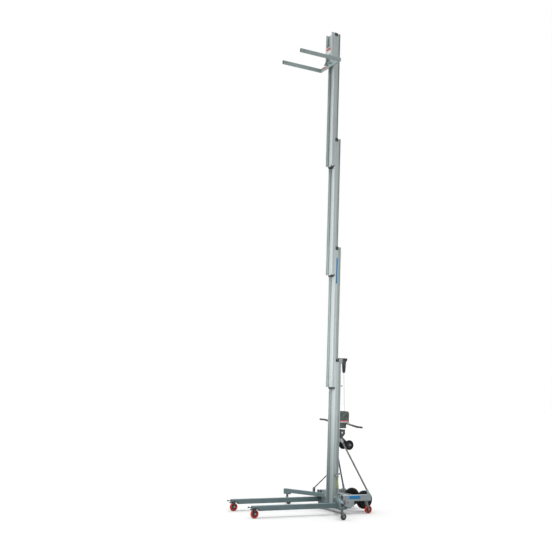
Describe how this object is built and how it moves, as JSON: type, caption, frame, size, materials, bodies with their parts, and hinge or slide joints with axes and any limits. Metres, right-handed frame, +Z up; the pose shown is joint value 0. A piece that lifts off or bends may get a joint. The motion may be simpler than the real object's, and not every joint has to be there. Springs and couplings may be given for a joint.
{
  "type": "material lift",
  "caption": "Hand-wound column lift on a wheeled base, with nested mast columns, a fork carriage, a crank winch and folding stabilizers.",
  "frame": {"origin": "on the floor, under the middle of the lift's outline", "axes": "+Z up, -Y the way the forks and legs point, +X to the left seen from behind the mast"},
  "size_m": [1.4982, 1.873, 6.443],
  "materials": {
    "aluminium": "satin",
    "steel": "satin",
    "zinc": "satin",
    "grey_paint": "satin",
    "dark_paint": "satin",
    "chrome": "polished",
    "black_plastic": "matte",
    "red_wheel": "satin",
    "grey_wheel": "matte",
    "black_tyre": "matte"
  },
  "bodies": {
    "base": {"base_frame": "steel", "leg_left": "steel", "leg_right": "steel", "leg_bumpers": "grey_wheel", "front_caster_forks": "dark_paint", "rear_arms": "steel", "rear_caster_plates": "zinc", "rear_cross_beam": "steel", "rear_braces": "steel", "mast_brackets": "zinc", "rest_peg": "zinc", "mast_column_1": "aluminium", "column_pads_1": "black_plastic", "top_pulley_bracket": "dark_paint", "winch_cable": "steel", "winch_frame": "zinc", "winch_cover": "grey_paint", "loading_wheel_bracket": "dark_paint"},
    "column_2": {"mast_column_2": "aluminium", "column_pads_2": "black_plastic"},
    "column_3": {"mast_column_3": "aluminium", "column_pads_3": "black_plastic"},
    "column_4": {"mast_column_4": "aluminium", "column_pads_4": "black_plastic"},
    "carriage": {"carriage": "aluminium", "carriage_pads": "black_plastic", "fork_crossbar": "steel", "fork_arm_left": "steel", "fork_arm_right": "steel"},
    "drum": {"winch_drum": "zinc", "winch_gear": "zinc"},
    "crank": {"winch_crank": "chrome"},
    "grip_left": {"crank_grip_left": "black_plastic"},
    "grip_right": {"crank_grip_right": "black_plastic"},
    "rear_pulley": {"rear_pulley": "black_plastic"},
    "upper_sheave_1": {"upper_sheave_1": "black_plastic"},
    "upper_sheave_2": {"upper_sheave_2": "black_plastic"},
    "lower_sheave_2": {"lower_sheave_2": "black_plastic"},
    "upper_sheave_3": {"upper_sheave_3": "black_plastic"},
    "lower_sheave_3": {"lower_sheave_3": "black_plastic"},
    "upper_sheave_4": {"upper_sheave_4": "black_plastic"},
    "lower_sheave_4": {"lower_sheave_4": "black_plastic"},
    "front_wheel_left": {"front_wheel_left": "red_wheel"},
    "rear_caster_left": {"rear_caster_fork_left": "zinc"},
    "rear_wheel_left": {"rear_wheel_left": "red_wheel"},
    "transport_wheel_left": {"transport_wheel_left": "black_tyre"},
    "loading_wheel_left": {"loading_wheel_left": "black_tyre"},
    "stabilizer_left": {"stabilizer_arm_left": "steel"},
    "stay_left": {"stabilizer_stay_left": "steel"},
    "stabilizer_caster_left": {"stabilizer_caster_fork_left": "zinc"},
    "stabilizer_wheel_left": {"stabilizer_wheel_left": "grey_wheel"},
    "front_wheel_right": {"front_wheel_right": "red_wheel"},
    "rear_caster_right": {"rear_caster_fork_right": "zinc"},
    "rear_wheel_right": {"rear_wheel_right": "red_wheel"},
    "transport_wheel_right": {"transport_wheel_right": "black_tyre"},
    "loading_wheel_right": {"loading_wheel_right": "black_tyre"},
    "stabilizer_right": {"stabilizer_arm_right": "steel"},
    "stay_right": {"stabilizer_stay_right": "steel"},
    "stabilizer_caster_right": {"stabilizer_caster_fork_right": "zinc"},
    "stabilizer_wheel_right": {"stabilizer_wheel_right": "grey_wheel"}
  },
  "joints": [
    {"name": "column_2_slide", "type": "slide", "parent": "base", "child": "column_2", "axis": [0, 0, 1], "range_m": [-1.472, 0]},
    {"name": "column_3_slide", "type": "slide", "parent": "column_2", "child": "column_3", "axis": [0, 0, 1], "range_m": [-1.472, 0]},
    {"name": "column_4_slide", "type": "slide", "parent": "column_3", "child": "column_4", "axis": [0, 0, 1], "range_m": [-1.472, 0]},
    {"name": "carriage_slide", "type": "slide", "parent": "column_4", "child": "carriage", "axis": [0, 0, 1], "range_m": [-1.441, 0]},
    {"name": "drum_turn", "type": "hinge", "parent": "base", "child": "drum", "pos_m": [0, 0.5485, 1.19], "axis": [1, 0, 0], "range_deg": [0, 12138]},
    {"name": "crank_turn", "type": "hinge", "parent": "base", "child": "crank", "pos_m": [0, 0.5255, 1.123], "axis": [1, 0, 0], "range_deg": [-44502, 0]},
    {"name": "grip_left_spin", "type": "hinge", "parent": "crank", "child": "grip_left", "pos_m": [0.23, 0.67085, 1.08595], "axis": [1, 0, 0], "continuous": true},
    {"name": "grip_right_spin", "type": "hinge", "parent": "crank", "child": "grip_right", "pos_m": [-0.23, 0.38015, 1.16005], "axis": [1, 0, 0], "continuous": true},
    {"name": "rear_pulley_spin", "type": "hinge", "parent": "base", "child": "rear_pulley", "pos_m": [0, 0.5255, 1.937], "axis": [1, 0, 0], "continuous": true},
    {"name": "upper_sheave_1_spin", "type": "hinge", "parent": "base", "child": "upper_sheave_1", "pos_m": [0, 0.4335, 1.937], "axis": [1, 0, 0], "continuous": true},
    {"name": "upper_sheave_2_spin", "type": "hinge", "parent": "column_2", "child": "upper_sheave_2", "pos_m": [0, 0.385, 3.429], "axis": [1, 0, 0], "continuous": true},
    {"name": "lower_sheave_2_spin", "type": "hinge", "parent": "column_2", "child": "lower_sheave_2", "pos_m": [0, 0.389, 1.622], "axis": [1, 0, 0], "continuous": true},
    {"name": "upper_sheave_3_spin", "type": "hinge", "parent": "column_3", "child": "upper_sheave_3", "pos_m": [0, 0.3365, 4.921], "axis": [1, 0, 0], "continuous": true},
    {"name": "lower_sheave_3_spin", "type": "hinge", "parent": "column_3", "child": "lower_sheave_3", "pos_m": [0, 0.3405, 3.114], "axis": [1, 0, 0], "continuous": true},
    {"name": "upper_sheave_4_spin", "type": "hinge", "parent": "column_4", "child": "upper_sheave_4", "pos_m": [0, 0.288, 6.413], "axis": [1, 0, 0], "continuous": true},
    {"name": "lower_sheave_4_spin", "type": "hinge", "parent": "column_4", "child": "lower_sheave_4", "pos_m": [0, 0.292, 4.606], "axis": [1, 0, 0], "continuous": true},
    {"name": "front_wheel_left_spin", "type": "hinge", "parent": "base", "child": "front_wheel_left", "pos_m": [0.2985, -0.8465, 0.05], "axis": [1, 0, 0], "continuous": true},
    {"name": "rear_caster_left_swivel", "type": "hinge", "parent": "base", "child": "rear_caster_left", "pos_m": [0.2985, 0.7535, 0.122], "axis": [0, 0, 1], "continuous": true},
    {"name": "rear_wheel_left_spin", "type": "hinge", "parent": "rear_caster_left", "child": "rear_wheel_left", "pos_m": [0.2985, 0.7855, 0.05], "axis": [1, 0, 0], "continuous": true},
    {"name": "transport_wheel_left_spin", "type": "hinge", "parent": "base", "child": "transport_wheel_left", "pos_m": [0.15, 0.8185, 0.15], "axis": [1, 0, 0], "continuous": true},
    {"name": "loading_wheel_left_spin", "type": "hinge", "parent": "base", "child": "loading_wheel_left", "pos_m": [0.075, 0.6175, 0.845], "axis": [1, 0, 0], "continuous": true},
    {"name": "stabilizer_left_fold", "type": "hinge", "parent": "base", "child": "stabilizer_left", "pos_m": [0.118, 0.4185, 0.18], "axis": [-0.4384, -0.8988, 0], "range_deg": [0, 75]},
    {"name": "stay_left_fold", "type": "hinge", "parent": "stabilizer_left", "child": "stay_left", "pos_m": [0.30944, 0.32513, 0.255], "axis": [-0.4384, -0.8988, 0], "range_deg": [-126, 0]},
    {"name": "stabilizer_caster_left_swivel", "type": "hinge", "parent": "stabilizer_left", "child": "stabilizer_caster_left", "pos_m": [0.69772, 0.13575, 0.091], "axis": [0, 0, 1], "continuous": true},
    {"name": "stabilizer_wheel_left_spin", "type": "hinge", "parent": "stabilizer_caster_left", "child": "stabilizer_wheel_left", "pos_m": [0.69772, 0.15975, 0.0375], "axis": [1, 0, 0], "continuous": true},
    {"name": "front_wheel_right_spin", "type": "hinge", "parent": "base", "child": "front_wheel_right", "pos_m": [-0.2985, -0.8465, 0.05], "axis": [1, 0, 0], "continuous": true},
    {"name": "rear_caster_right_swivel", "type": "hinge", "parent": "base", "child": "rear_caster_right", "pos_m": [-0.2985, 0.7535, 0.122], "axis": [0, 0, 1], "continuous": true},
    {"name": "rear_wheel_right_spin", "type": "hinge", "parent": "rear_caster_right", "child": "rear_wheel_right", "pos_m": [-0.2985, 0.7855, 0.05], "axis": [1, 0, 0], "continuous": true},
    {"name": "transport_wheel_right_spin", "type": "hinge", "parent": "base", "child": "transport_wheel_right", "pos_m": [-0.15, 0.8185, 0.15], "axis": [1, 0, 0], "continuous": true},
    {"name": "loading_wheel_right_spin", "type": "hinge", "parent": "base", "child": "loading_wheel_right", "pos_m": [-0.075, 0.6175, 0.845], "axis": [1, 0, 0], "continuous": true},
    {"name": "stabilizer_right_fold", "type": "hinge", "parent": "base", "child": "stabilizer_right", "pos_m": [-0.118, 0.4185, 0.18], "axis": [-0.4384, 0.8988, 0], "range_deg": [0, 75]},
    {"name": "stay_right_fold", "type": "hinge", "parent": "stabilizer_right", "child": "stay_right", "pos_m": [-0.30944, 0.32513, 0.255], "axis": [-0.4384, 0.8988, 0], "range_deg": [-126, 0]},
    {"name": "stabilizer_caster_right_swivel", "type": "hinge", "parent": "stabilizer_right", "child": "stabilizer_caster_right", "pos_m": [-0.69772, 0.13575, 0.091], "axis": [0, 0, 1], "continuous": true},
    {"name": "stabilizer_wheel_right_spin", "type": "hinge", "parent": "stabilizer_caster_right", "child": "stabilizer_wheel_right", "pos_m": [-0.69772, 0.15975, 0.0375], "axis": [1, 0, 0], "continuous": true}
  ],
  "couplings": [
    {"joint": "column_3_slide", "follows": "column_2_slide", "ratio": 1},
    {"joint": "column_4_slide", "follows": "column_2_slide", "ratio": 1},
    {"joint": "carriage_slide", "follows": "column_2_slide", "ratio": 0.97894},
    {"joint": "drum_turn", "follows": "column_2_slide", "rad_per_m": -143.9},
    {"joint": "crank_turn", "follows": "column_2_slide", "rad_per_m": 527.65},
    {"joint": "stay_left_fold", "follows": "stabilizer_left_fold", "ratio": -1.667},
    {"joint": "stay_right_fold", "follows": "stabilizer_right_fold", "ratio": -1.667}
  ]
}
